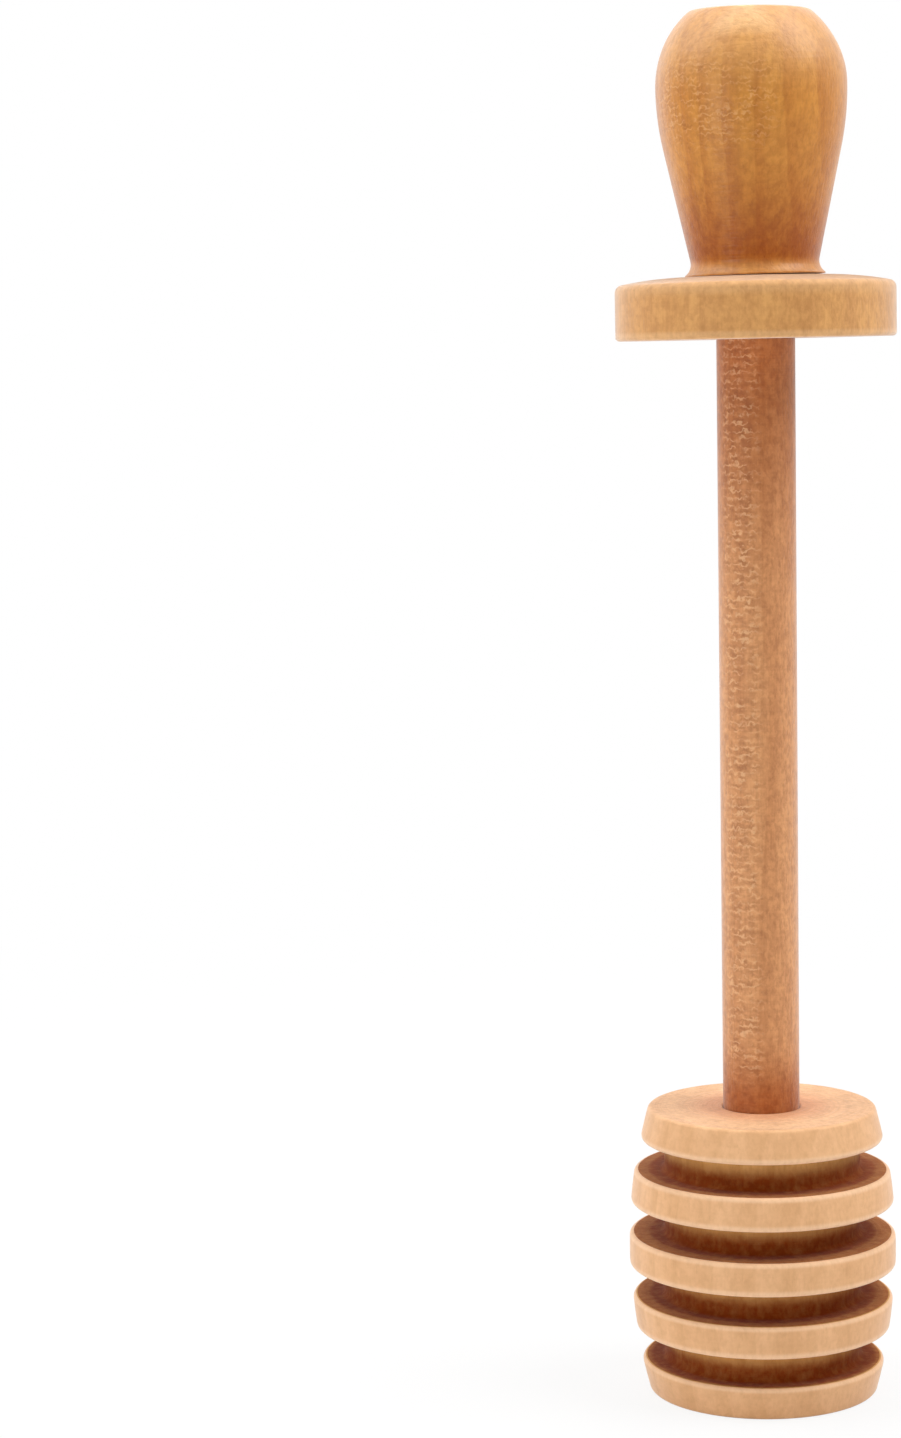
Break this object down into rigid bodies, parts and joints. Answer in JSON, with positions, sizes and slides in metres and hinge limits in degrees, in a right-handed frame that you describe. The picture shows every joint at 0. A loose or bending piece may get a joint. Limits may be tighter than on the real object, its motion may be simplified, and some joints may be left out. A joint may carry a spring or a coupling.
{
  "type": "honey dipper",
  "caption": "Turned wooden honey dipper with a grooved barrel head, a straight rod, a round collar and an egg-shaped knob.",
  "frame": {"origin": "centre of the flat bottom of the grooved head, on which the dipper stands", "axes": "+Z along the turning axis, from the head up to the knob; X and Y are equal, because every piece is turned"},
  "size_m": [0.0288, 0.0288, 0.1428],
  "materials": {
    "head_wood": "fine turned beech, bare and dry",
    "rod_wood": "straight-grained dowel, bare, faint machining rings",
    "collar_wood": "turned beech, lightly sanded",
    "knob_wood": "turned beech, polished by sanding"
  },
  "bodies": {
    "root": {"dipper_head": "head_wood", "rod": "rod_wood", "collar_disc": "collar_wood", "handle_knob": "knob_wood"}
  },
  "joints": []
}
